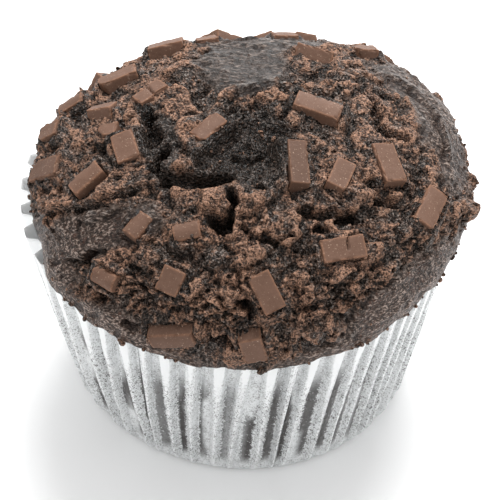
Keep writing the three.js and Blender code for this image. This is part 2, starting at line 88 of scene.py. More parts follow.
# Holes and furrows torn into the crumb: map points, half width, depth.
# The map is the crown's skin unrolled: millimetres from the top, +x right, +y back.
FURROWS = [
    ([(-15.3, 1.8), (-14.3, 0.3), (-13.9, -1.2)], 1.0, 4.2),
    ([(-14, -3.4), (-13.8, -5)], 1.3, 1.8),
    ([(-11.9, -8.2), (-12.8, -9.4), (-13.2, -10.2)], 1.0, 4),
    ([(-11.4, -12), (-8.5, -13.2), (-5.6, -13.6), (-3.6, -13)], 1.2, 2.6),
    ([(-5.4, -20), (-4.2, -20.6), (-3.4, -20)], 1.2, 4),
    ([(-2.9, -19.2), (-2.4, -17.6), (-2.9, -16)], 0.55, 3),
    ([(-5.9, -6.6), (-5, -7.1)], 0.7, 2.2),
    ([(-9.4, -9), (-8.8, -9.6)], 0.5, 1.3),
    ([(-2.8, -8.8), (-0.2, -9.4), (2.2, -8.6)], 0.4, 0.9),
    ([(0.4, 1.9), (1.8, 2.6), (3.4, 3.4)], 0.6, 3),
    ([(6.4, 3), (5.8, 0.4), (5.2, -2.4)], 0.7, 2.4),
    ([(7.2, 4.7), (8.6, 4.4)], 0.6, 1.8),
    ([(9.9, 4.2), (11.2, 4)], 0.7, 2),
    ([(15.4, 6.1), (17.1, 4.4), (17.6, 1), (18.4, -2), (21.2, -2.7)], 0.7, 3),
    ([(7.2, -18.2), (9.8, -18.4), (12.2, -18), (15, -17.9)], 0.8, 2.2),
    ([(18.2, -14.4), (20.8, -14.2)], 0.8, 1.8),
    ([(24.6, -9.2), (25.4, -11)], 0.8, 2.2),
    ([(10, -20.8), (11, -21.8)], 0.8, 2.4),
    ([(-0.9, -34), (0, -35.6), (0.5, -37.2)], 1.1, 3.2),
    ([(6, -35.8), (7, -36.3)], 0.7, 2.4),
    ([(-7, -43.4), (-4.4, -43.9), (-2.4, -44.3)], 0.8, 2),
    ([(7.3, -45), (7.9, -45.3)], 0.5, 1.5),
    ([(7.6, -47.6), (8.6, -48)], 0.6, 1.2),
    ([(16.6, -44.4), (18.2, -43.8)], 0.6, 1.3),
    ([(-11.4, -43.2), (-9.4, -43.4)], 0.6, 1.4),
    ([(-7.2, 15.2), (-6.8, 16.2)], 0.6, 1.6),
    ([(-12, 7.6), (-11.2, 7.4)], 0.5, 1.2),
    ([(-8.4, 3), (-7, 4.2)], 0.8, 1.2),
    ([(-4.4, -1.8), (-3, -1.2)], 0.8, 1.4),
    ([(-19.6, -3.8), (-20.4, -4.3)], 0.7, 2),
    ([(-23.4, -10.4), (-21, -9.4)], 0.7, 2.6),
    ([(-25.2, -11.4), (-23.8, -11)], 0.5, 1.8),
    ([(-28.6, -8.8), (-28.2, -10.9)], 0.5, 2),
    ([(-33, -5), (-30.6, -4.6)], 0.6, 1.6),
    ([(-28.2, -23.6), (-27.4, -22.6), (-25.6, -21.9), (-22.6, -22.3)], 0.7, 2.2),
    ([(-28.8, -31.4), (-28.2, -32.2)], 0.8, 1.8),
    ([(-33, -15.3), (-32.2, -15.7)], 0.4, 1),
    ([(-25.9, -15.8), (-26.9, -17.1)], 0.35, 1),
    ([(-23.8, -38.6), (-22.4, -40)], 0.9, 1.6),
    ([(-1.3, -20.9), (-0.1, -22.5), (2.2, -23.1), (3.8, -23.2), (5.8, -22.3)], 0.35, 1.1),
]

# Swellings and hollows: middle, radii, turn, height
MOUNDS = [
    ((-0.6, -7.4), (9.4, 7.6), 52, -2.2),
    ((2, 0.2), (3.4, 1.8), 30, -0.8),
    ((-8.4, -6.2), (5.8, 4.6), 38, 1.9),
    ((-3, 2.6), (5, 2), 42, 0.6),
    ((21.9, -19.4), (3.2, 2.8), 0, 1.6),
    ((41.2, -8.4), (3.2, 3.6), 0, 1.9),
    ((14.6, -14.4), (5, 2), 8, 0.9),
    ((4.6, -21.4), (4, 3), -20, 1.1),
    ((-6, -17.2), (2.6, 2.4), 20, 1.5),
    ((0.4, -17.2), (2.8, 3), 30, 1.3),
    ((-5.4, -25.5), (2.8, 2.3), 0, 1.3),
    ((-14.6, -24.8), (3.6, 3), 10, 1),
    ((14, -40.8), (6.6, 3.6), 10, 1),
    ((21, 27), (8, 4), -30, 0.6),
    ((-31, 9), (14, 9), 68, -1.3),
    ((-41, -2), (8, 16), 0, -1.1),
    ((-1, 27), (22, 9), 0, -1.1),
    ((-22.5, 18), (14, 7.5), 46, -1.5),
    ((-24.5, 20), (6, 5), 45, -1.2),
    ((20, 25), (10, 7), -40, -0.5),
    ((38, 4), (8, 14), 0, -0.8),
]

# Leaves of crumb that stand out with a definite edge: middle, radii, turn, height
LEAVES = [
    ((-0.1, -25.7), (3.4, 1.25), 27, 0.8),
    ((-9, -31), (4.0, 1.1), 52, 0.9),
    ((-3.4, -31.4), (3.6, 1.5), 88, 0.9),
    ((-15.4, -24.1), (3, 1.7), 20, 0.7),
    ((13.9, -28.1), (4.4, 1.5), 8, 0.6),
    ((8.6, -31), (1.3, 3.4), 12, 0.8),
    ((15.6, -43.1), (4.4, 1.6), 8, 0.7),
    ((-21.6, -15), (3.2, 1.4), 20, 0.6),
    ((1.2, -17.4), (3.2, 1.0), 38, 0.7),
    ((3, -15.8), (2.6, 0.9), 50, 0.6),
    ((22.4, 3.4), (2.2, 3.2), 20, 0.7),
    ((12.4, 7), (3.6, 1.5), -20, 0.6),
    ((-13.4, 12.6), (3.6, 1.4), 30, 0.6),
    ((-28.4, -5.8), (3.6, 1.3), 10, 0.6),
    ((24.8, -17), (3, 1.5), 60, 0.7),
    ((-6.4, -36.6), (3.4, 1.6), 70, 0.7),
    ((-20, -33.4), (3.4, 1.6), 40, 0.7),
]

# Edges of torn crust and folded skin: map points, rise (negative where the right side stands up), reach
TORN_EDGES = [
    ([(-12, -12.5), (-16.9, -12.8), (-22.5, -13.6), (-32.4, -12)], -1.2, 4),
    ([(5, 5), (0.7, 4.1), (-2.7, 1.6), (-5.1, -1)], -0.8, 3),
    ([(-12.4, -11.3), (-9, -11.6), (-7, -9.1), (-6.3, -6.8)], 1.3, 4),
    ([(7.5, -45), (12, -42.4), (17, -40.6), (21, -41.2)], 0.8, 2.5),
    ([(16.5, 7), (18.4, 7.6), (20.8, 6.2), (21.4, 3.2)], 0.6, 2.2),
    ([(20.4, 12.2), (24, 11.2), (26.4, 7.8), (28.2, 5.4), (30.4, -0.6)], 0.7, 2.4),
    ([(-10.2, 18), (-6, 19.4), (0, 20)], 0.5, 2),
]

# Smooth baked skin: middle, radii, turn. Everywhere else the crown is torn, open crumb.
SKINS = [
    ((-1.2, 11), (7.6, 9), 0),
    ((1, 21.5), (10.5, 6.5), -4),
    ((29.5, 7), (17, 8.4), -58),
    ((-26, -18.6), (14, 4.4), 4),
    ((-38, -20), (12, 6), 95),
    ((32, -31), (19, 7.6), 52),
    ((-28, -39), (12, 4.6), -42),
    ((2, 38), (30, 9), 0),
    ((-30, 32), (12, 7), 45),
]

# The moist hollow in the middle of the crown
MOIST = [((-0.6, -8), (9.4, 7.4), 52), ((-12.6, -6), (3, 8), 8)]

# Chunks that show: map place, heading, length and width, height standing out, and pitch and roll if any
CHUNKS = [
    ((-13.2, 20.6), 4, (6, 3.8), 1.2),
    ((-7, 22.4), 18, (3.6, 3), 0.5),
    ((-19, 10.9), 10, (6.6, 3.4), 1.2),
    ((-13.7, 3.9), 38, (5.6, 3.1), 1.1),
    ((-27, 9.6), 2, (4.7, 2.8), 0.9, 0, 8),
    ((-20.2, 2.4), -14, (4.4, 3), 1.7, 0, -26),
    ((-19.3, -1.6), -15, (3.2, 2.8), 1.1),
    ((-16.9, -5.7), -80, (5.4, 3.8), 1.4, -10, 0),
    ((-30.2, 4.1), -18, (4.2, 3.2), 1.3, 0, 6),
    ((-30.4, -3.9), -22, (7.2, 3.6), 1.3, 6, 6),
    ((-23, -9.1), 28, (5.9, 3.1), 1.5),
    ((-6.2, -5.3), 39, (5.7, 3.2), 1.2),
    ((-16, -19.3), 46, (4.3, 3.2), 1.8, -8, 0),
    ((-9, -21.2), 5, (4.4, 3.1), 1.5),
    ((9.2, 13.4), -26, (6.4, 3.4), 1.4, 0, -25),
    ((9.5, -0.4), -15, (7.7, 3.7), 1.5),
    ((6.5, -11.4), -82, (8.2, 3.2), 1.4, 0, -8),
    ((12.4, -12.3), -107, (5.4, 3.3), 1.8),
    ((19.2, -8), -67, (7.2, 3.9), 1.3),
    ((27.6, -13.2), -112, (7.3, 3.7), 1.2, 0, 12),
    ((17.5, 21.2), 10, (4, 3.4), 0.9, 14, 0),
    ((13.4, -23.6), 15, (7.3, 3.7), 1.4),
    ((5.2, 22.6), 8, (4.2, 3), 0.5),
    ((-23.8, -27.2), -32, (4.4, 3), 1.9),
    ((-12.3, -29.1), -118, (4.1, 3.8), 1.1),
    ((-14.3, -42), -4, (7.6, 3.4), 1.6, 0, 20),
    ((2.4, -31.7), -63, (6.4, 3.6), 1.6),
    ((1.1, -44.8), -76, (5.8, 3.7), 1.3, -10, 0),
]

# Chunks on the hidden back: their bearings, how far down the map they lie in turn, and how far they stand
# out. The crumb beside them lies lower, so that they don't top the outline, and so do the last ones, which
# are sunk deeper than in the solid model.
BACK_CHUNKS = 9
BACK_FROM = 42
BACK_TO = 158
BACK_LENGTHS = (35.5, 40.5)
BACK_OUT = 0.6
BACK_GROUND_DROP = 1.2
SUNK_FROM = 6
SUNK = 0.8

# The grid on a chunk's faces, how round its edges are worn, and how far from its middle the crumb is shaped
CHUNK_STEP = 0.2
WORN = 0.12
CHUNK_REACH = 9

# Chunks broken across: place along the bar from -1 to 1, half width of the crack, how far it runs across
CRACKED = {4: (0.05, 0.16, 1.0), 22: (0.2, 0.13, 0.6)}

# Corners broken off chunks: which end, which side, how much
BROKEN = {
    3: ((-1, -1, 1.2), (-1, 1, 0.8)),
    7: ((-1, -1, 1.2), (-1, 1, 0.9)),
    8: ((1, 1, 0.4),),
    9: ((-1, 1, 1.2), (-1, -1, 1.1)),
    10: ((-1, 1, 1.8), (1, -1, 0.5)),
    12: ((-1, -1, 0.8), (1, 1, 1.0)),
    14: ((1, -1, 0.4),),
    16: ((1, 1, 0.5),),
    18: ((1, 1, 0.5),),
    20: ((1, 1, 0.6),),
    21: ((-1, 1, 1.6), (-1, -1, 1.2)),
    24: ((-1, 1, 0.8),),
    26: ((1, -1, 0.9),),
    27: ((-1, -1, 0.8),),
}

# Chunks with a rounded back, and how far their long edges drop
ROUND_BACKED = {5: 0.2, 11: 0.45, 12: 0.3, 13: 0.7, 14: 0.5, 16: 0.35, 20: 0.2, 24: 0.6, 26: 0.25}

# Chunks painted darker than the rest, as shade where they face away from the light, and by how much
DARKER = {5: 0.2, 9: 0.2, 10: 0.25, 16: 0.06, 17: 0.42, 25: 0.15, 26: 0.3, 28: 0.15}

# Chunks with a side that shows: the way that side faces on the map, in degrees from +x towards +y
OPEN_SIDES = {
    1: -90, 2: -90, 3: -80, 6: -95, 7: -5, 11: -60, 13: -130, 15: -110,
    16: -100, 17: -90, 18: -100, 19: -75, 21: -90, 24: -40, 26: 90, 28: 90,
}

# How many loose crumbs lie on the crown and hang along the lip, and from how many shapes they are drawn
LOOSE_CRUMBS = 1300
HANGING_CRUMBS = 55
CRUMB_SHAPES = 12


# Small helpers on arrays

def smoothstep(start, end, value):
    t = np.clip((value - start) / (end - start), 0, 1)
    return t * t * (3 - 2 * t)


def lerp(a, b, t):
    return a + (b - a) * t


def wrapped(angle):
    return np.arctan2(np.sin(angle), np.cos(angle))


def random_at(ix, iy, seed):
    value = np.sin(ix * 127.1 + iy * 311.7 + seed * 74.7) * 43758.5453
    return value - np.floor(value)


# Noise on the map

def gradient_noise(x, y, size, seed):
    x = x / size + 17.3 * seed
    y = y / size - 9.1 * seed
    ix, iy = np.floor(x), np.floor(y)
    fx, fy = x - ix, y - iy

    def corner(i, j):
        angle = 2 * pi * random_at(ix + i, iy + j, seed)
        return np.cos(angle) * (fx - i) + np.sin(angle) * (fy - j)

    u = fx ** 3 * (fx * (6 * fx - 15) + 10)
    v = fy ** 3 * (fy * (6 * fy - 15) + 10)
    low = lerp(corner(0, 0), corner(1, 0), u)
    high = lerp(corner(0, 1), corner(1, 1), u)
    return 1.5 * lerp(low, high, v)


def layered_noise(x, y, size, seed, layers=3):
    return sum(0.5 ** k * gradient_noise(x, y, size * 0.5 ** k, seed + k) for k in range(layers))


def folds(x, y, size, seed):
    """Sharp crests with round valleys between them, 0 to 1."""
    return (1 - np.minimum(1, 1.6 * np.abs(layered_noise(x, y, size, seed, 2)))) ** 2


def cells(x, y, size, seed, jitter=1.0):
    """Nearest and second nearest distance to scattered points, and a random number for the nearest."""
    x, y = x / size, y / size
    ix, iy = np.floor(x), np.floor(y)
    first = np.full_like(x, 9.0)
    second = first.copy()
    chance = np.zeros_like(x)
    for i in (-1, 0, 1):
        for j in (-1, 0, 1):
            cx, cy = ix + i, iy + j
            px = cx + 0.5 + jitter * (random_at(cx, cy, seed) - 0.5)
            py = cy + 0.5 + jitter * (random_at(cx, cy, seed + 1) - 0.5)
            away = np.hypot(px - x, py - y)
            second = np.where(away < first, first, np.minimum(second, away))
            chance = np.where(away < first, random_at(cx, cy, seed + 2), chance)
            first = np.minimum(first, away)
    return first, second, chance


def clods(x, y, size, seed):
    """Rounded clods of crumb: 0 in the cracks between them, 1 on their backs."""
    bent_x = x + 0.35 * size * np.sin(y * 0.5 + seed)
    bent_y = y + 0.35 * size * np.sin(x * 0.45 + seed * 2)
    first, second, _ = cells(bent_x, bent_y, size, seed)
    return smoothstep(0, 0.55, second - first)


def pores(x, y, size, seed, share):
    """Round holes in a share of the cells: 1 at the middle of a hole."""
    first, _, chance = cells(x, y, size, seed, 0.8)
    radius = 0.2 + 0.28 * chance / share
    return np.where(chance < share, smoothstep(radius, radius * 0.35, first), 0)


def plates(x, y, size, seed):
    """Torn plates of crumb with their own heights and tilts, and the cracks between them, 1 in a crack."""
    push_x = 0.45 * size * layered_noise(x, y, size * 0.9, seed + 5, 2)
    push_y = 0.45 * size * layered_noise(x, y, size * 0.9, seed + 8, 2)
    x, y = (x + push_x) / size, (y + push_y) / size
    ix, iy = np.floor(x), np.floor(y)
    first = np.full_like(x, 9.0)
    second = first.copy()
    height, under = np.zeros_like(x), np.zeros_like(x)
    for i in (-1, 0, 1):
        for j in (-1, 0, 1):
            cx, cy = ix + i, iy + j
            dx = x - cx - random_at(cx, cy, seed)
            dy = y - cy - random_at(cx, cy, seed + 1)
            tilt = 2 * pi * random_at(cx, cy, seed + 2)
            own = random_at(cx, cy, seed + 3) - 0.5 + 0.7 * (dx * np.cos(tilt) + dy * np.sin(tilt))
            away = np.hypot(dx, dy)
            closer = away < first
            under = np.where(closer, height, np.where(away < second, own, under))
            height = np.where(closer, own, height)
            second = np.where(closer, first, np.minimum(second, away))
            first = np.minimum(first, away)
    gap = second - first
    return lerp((height + under) / 2, height, smoothstep(-0.02, 0.14, gap)), smoothstep(0.13, 0, gap)


# Lines and ellipses on the map

def to_line(x, y, line):
    """Distance to a line, and the side of it: 1 on its left, -1 on its right."""
    nearest = np.full_like(x, np.inf)
    side = np.ones_like(x)
    for (ax, ay), (bx, by) in zip(line, line[1:]):
        dx, dy = bx - ax, by - ay
        t = np.clip(((x - ax) * dx + (y - ay) * dy) / (dx * dx + dy * dy), 0, 1)
        away = np.hypot(x - ax - dx * t, y - ay - dy * t)
        turn = np.where(dx * (y - ay) - dy * (x - ax) >= 0, 1, -1)
        side = np.where(away < nearest, turn, side)
        nearest = np.minimum(nearest, away)
    return nearest, side


def inside(x, y, at, radii, turn):
    """1 in the middle of an ellipse, 0 on its edge and less outside."""
    dx, dy = x - at[0], y - at[1]
    c, s = cos(radians(turn)), sin(radians(turn))
    return 1 - np.hypot((dx * c + dy * s) / radii[0], (dy * c - dx * s) / radii[1])


# Relief of the crown

def torn_share(x, y):
    """How torn the crown is: 1 in open crumb, 0 on baked skin."""
    shift = SKIN_FRONT_SHIFT * smoothstep(-20, -40, y) * smoothstep(30, 0, np.abs(x))
    skin = smoothstep(SKIN_FROM, SKIN_FULL, np.hypot(x, y) - shift)
    ragged = 0.22 * layered_noise(x, y, 5, 41, 3)
    for patch in SKINS:
        skin = np.maximum(skin, smoothstep(-0.16, 0.22, inside(x, y, *patch) + ragged))
    return 1 - skin


def main_relief(x, y, torn):
    height = 0.35 * np.sin(x * 0.31 + 1) * np.sin(y * 0.27 + 2)
    height += torn * (0.6 * (clods(x, y, 6.5, 3) - 0.75) + 0.35 * layered_noise(x, y, 5, 13, 2))
    for at, radii, turn, rise in MOUNDS:
        height += rise * smoothstep(0, 0.7, inside(x, y, at, radii, turn))
    for at, radii, turn, rise in LEAVES:
        depth = inside(x, y, at, radii, turn) + 0.12 * gradient_noise(x, y, 1.4, 15)
        trough = 0.5 * smoothstep(-0.5, -0.1, depth) * (depth < -0.04)
        height += rise * (smoothstep(-0.08, 0.16, depth) - trough)
    ragged = 0.45 * layered_noise(x, y, 1.8, 5, 3)
    for line, half, depth in FURROWS:
        away, _ = to_line(x, y, line)
        height -= FURROW_DEEPER * depth * smoothstep(half * 1.35, half * 0.4, away + ragged * min(1, half))
    for line, rise, reach in TORN_EDGES:
        away, side = to_line(x, y, line)
        stands = side == np.sign(rise)
        height += np.where(stands, abs(rise) * smoothstep(reach, 0, away),
                           -0.5 * abs(rise) * smoothstep(reach * 0.5, 0, away))
    return np.clip(height, RELIEF_LOWEST, RELIEF_HIGHEST)


def fine_relief(x, y, torn, moist):
    """Plates, cracks, pores and grain of the crumb, and the grain of the skin."""
    large, large_crack = plates(x, y, 7.4, 31)
    small, small_crack = plates(x, y, 3.3, 41)
    rough = 1.5 * large - 0.55 * large_crack + 0.5 * small - 0.25 * small_crack
    rough += 0.35 * (folds(x, y, 4.6, 51) - 0.35) + 0.3 * layered_noise(x, y, 1.7, 57, 3)
    rough = lerp(rough, 0.45 * rough - 0.3, moist)
    rough -= 0.75 * pores(x, y, 1.9, 61, 0.28) + 0.5 * pores(x, y, 1.05, 65, 0.35)
    rough = np.where(rough > 0.6, 0.6 + 0.45 * (rough - 0.6), rough)
    smooth = 0.08 * np.sin(y * 1.1 + 0.8 * np.sin(x * 0.23)) + 0.2 * layered_noise(x, y, 5, 71)
    smooth += 0.2 * folds(x * 0.5 + 2 * gradient_noise(x, y, 9, 74), y * 1.3, 2.6, 75)
    smooth += 0.1 * layered_noise(x * 0.6, y, 0.9, 77, 2) - 0.45 * pores(x, y, 3.1, 79, 0.14)
    return lerp(smooth, rough + 0.2, torn), large + 0.5 * small


# The smooth crown under the relief

def crown_radius(bearing):
    return (CROWN_RADIUS + 1.1 * np.cos(2 * bearing) + 0.5 * np.sin(2 * bearing)
            - 0.3 * np.cos(3 * bearing) + 0.4 * np.sin(3 * bearing))


def up_the_case(z):
    return (z - FOOT_RISE) / (RIM_HEIGHT - FOOT_RISE)


def case_radius(z):
    return lerp(BASE_RADIUS, RIM_RADIUS, up_the_case(z))


def neck_radius(z):
    depth = lerp(PLEAT_DEPTH_BASE, PLEAT_DEPTH_RIM, np.clip(up_the_case(z), 0, 1))
    return case_radius(z) - depth - CASE_ROOM


def overhang(bearing):
    """1 where the lip hangs over the case, 0 where the rim stands free."""
    degrees = np.degrees(wrapped(bearing))
    return smoothstep(-160, -143, degrees) * smoothstep(48, 20, degrees)


def lip_height(bearing):
    away = np.minimum(np.abs(wrapped(bearing - LIP_LOW_BEARING)), pi / 2)
    return np.minimum(LIP_FREE_HEIGHT, LIP_LOW_HEIGHT + LIP_RISE * (1 - np.cos(away)))


def lip_radius(bearing):
    height = lip_height(bearing)
    in_case = neck_radius(np.minimum(height, RIM_HEIGHT))
    return lerp(in_case, case_radius(height) + LIP_PROUD, overhang(bearing))


def crown_point(bearing, length):
    """The place on the smooth crown of a bearing and a length down the map."""
    radius = crown_radius(bearing)
    angle = np.clip(length / DOME_LENGTH, 0, 1) * pi / 2
    out = radius * np.sin(angle) ** DOME_POWER
    rise = (TOP_HEIGHT - SHOULDER_HEIGHT) * np.maximum(0, np.cos(angle)) ** DOME_POWER
    low = lip_height(bearing)
    down = np.clip((length - DOME_LENGTH) / (SHOULDER_HEIGHT - low), 0, 1)
    bulge = 0.5 * np.sin(down * pi)
    lip = lip_radius(bearing)
    x = lerp(CROWN_X + out * np.cos(bearing), lip * np.cos(bearing), down) + bulge * np.cos(bearing)
    y = lerp(CROWN_Y + out * np.sin(bearing), lip * np.sin(bearing), down) + bulge * np.sin(bearing)
    z = lerp(SHOULDER_HEIGHT + rise, low, down)
    return np.stack([x, y, z], -1)


def map_point(x, y):
    return crown_point(np.arctan2(y, x), np.hypot(x, y))


def unit(vectors):
    return vectors / np.maximum(1e-9, np.linalg.norm(vectors, axis=-1, keepdims=True))


def map_axes(x, y, step=0.4):
    """The map's +x on the crown, and straight out of the crown."""
    right = unit(map_point(x + step, y) - map_point(x - step, y))
    back = unit(map_point(x, y + step) - map_point(x, y - step))
    return right, unit(np.cross(right, back))


# Meshes from arrays

def stitch(counts):
    """Triangles that join a run of loops, each with its own number of points."""
    faces = []
    first = 0
    for n, m in zip(counts, counts[1:]):
        after = first + n
        i = j = 0
        while i < (n if n > 1 else 0) or j < (m if m > 1 else 0):
            a, b = first + i % n, after + j % m
            if j >= m or m == 1 or (n > 1 and i < n and (i + 1) * m <= (j + 0.999) * n):
                faces.append((a, b, first + (i + 1) % n))
                i += 1
            else:
                faces.append((a, b, after + (j + 1) % m))
                j += 1
        first = after
    return np.array(faces, np.int32)


def vertex_normals(points, faces):
    corners = points[faces]
    across = np.cross(corners[:, 1] - corners[:, 0], corners[:, 2] - corners[:, 0])
    normals = np.zeros_like(points)
    for k in range(faces.shape[1]):
        np.add.at(normals, faces[:, k], across)
    return unit(normals)


def neighbour_mean(values, faces, rounds):
    """Averages a value over the mesh's neighbours, again and again."""
    edges = np.concatenate([faces[:, [0, 1]], faces[:, [1, 2]], faces[:, [2, 0]]])
    count = np.bincount(edges.ravel(), minlength=len(values)).astype(float)
    for _ in range(rounds):
        total = np.bincount(edges[:, 0], values[edges[:, 1]], len(values))
        total += np.bincount(edges[:, 1], values[edges[:, 0]], len(values))
        values = 0.4 * values + 0.6 * total / np.maximum(1, count)
    return values


def add_object(name, data):
    new = bpy.data.objects.new(name, data)
    bpy.context.scene.collection.objects.link(new)
    return new


def make_piece(name, points, faces, material, slot, **marks):
    """A smooth mesh. Each mark is a value at every point for its material, 0 past the end of those given."""
    mesh = bpy.data.meshes.new(name)
    mesh.from_pydata((points * MM).tolist(), [], faces.tolist())
    mesh.validate()
    mesh.shade_smooth()
    for mark, values in marks.items():
        at_points = np.zeros(len(points), np.float32)
        at_points[:values.size] = values.ravel()
        mesh.attributes.new(mark, "FLOAT", "POINT").data.foreach_set("value", at_points)
    mesh.materials.append(material)
    piece = add_object(name, mesh)
    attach(piece, "root")
    return piece


# Material helpers

class Nodes:
    """A material's node tree, with short calls to add and join nodes."""

    def __init__(self, name):
        self.material = bpy.data.materials.new(name)
        self.material.use_nodes = True
        self.tree = self.material.node_tree
        self.shader = self.tree.nodes["Principled BSDF"]
        self.place = self.add("ShaderNodeTexCoord").outputs["Object"]

    def add(self, kind, links=None, **settings):
        node = self.tree.nodes.new(kind)
        for name, value in settings.items():
            setattr(node, name, value)
        for socket, value in (links or {}).items():
            self.feed(node.inputs[socket], value)
        return node

    def feed(self, socket, value):
        if isinstance(value, bpy.types.NodeSocket):
            self.tree.links.new(value, socket)
        else:
            socket.default_value = value

    def noise(self, size, detail=3.0, roughness=0.55, place=None):
        links = {"Vector": place or self.place, "Scale": 1 / (size * MM),
                 "Detail": detail, "Roughness": roughness}
        return self.add("ShaderNodeTexNoise", links).outputs["Fac"]

    def spots(self, size, place):
        links = {"Vector": place, "Scale": 1 / (size * MM)}
        return self.add("ShaderNodeTexVoronoi", links).outputs["Distance"]

    def vector(self, operation, links):
        return self.add("ShaderNodeVectorMath", links, operation=operation).outputs[0]

    def bent(self, size, amount):
        """The place, pushed about by noise, so that what is drawn there isn't regular."""
        links = {"Vector": self.place, "Scale": 1 / (size * MM), "Detail": 1.0}
        push = self.add("ShaderNodeTexNoise", links).outputs["Color"]
        scaled = self.vector("SCALE", {0: push, "Scale": amount * MM})
        return self.vector("ADD", {0: scaled, 1: self.place})

    def mark(self, name):
        return self.add("ShaderNodeAttribute", attribute_name=name).outputs["Fac"]

    def span(self, value, low, high, to_low=0.0, to_high=1.0):
        links = {"Value": value, "From Min": low, "From Max": high, "To Min": to_low, "To Max": to_high}
        return self.add("ShaderNodeMapRange", links).outputs["Result"]

    def math(self, operation, a, b, clamp=False):
        node = self.add("ShaderNodeMath", {0: a, 1: b}, operation=operation, use_clamp=clamp)
        return node.outputs[0]

    def times(self, a, b, clamp=False):
        return self.math("MULTIPLY", a, b, clamp)

    def total(self, *parts):
        """The sum of values, each times its own weight."""
        scaled = [self.times(value, weight) for value, weight in parts]
        result = scaled[0]
        for part in scaled[1:]:
            result = self.math("ADD", result, part)
        return result

    def mix(self, share, a, b):
        node = self.add("ShaderNodeMix", data_type="RGBA")
        self.feed(node.inputs[0], share)
        self.feed(node.inputs[6], a)
        self.feed(node.inputs[7], b)
        return node.outputs[2]

    def blend(self, share, a, b):
        node = self.add("ShaderNodeMix", data_type="FLOAT")
        self.feed(node.inputs[0], share)
        self.feed(node.inputs[2], a)
        self.feed(node.inputs[3], b)
        return node.outputs[0]

    def bump(self, height, distance, strength=1.0, under=None):
        if isinstance(distance, bpy.types.NodeSocket):
            distance = self.times(distance, MM)
        else:
            distance = distance * MM
        links = {"Height": height, "Distance": distance, "Strength": strength}
        if under is not None:
            links["Normal"] = under
        return self.add("ShaderNodeBump", links).outputs["Normal"]

    def finish(self, color, roughness, normal, **constants):
        self.feed(self.shader.inputs["Base Color"], color)
        self.feed(self.shader.inputs["Roughness"], roughness)
        self.feed(self.shader.inputs["Normal"], normal)
        for name, value in constants.items():
            self.shader.inputs[name.replace("_", " ")].default_value = value
        return self.material


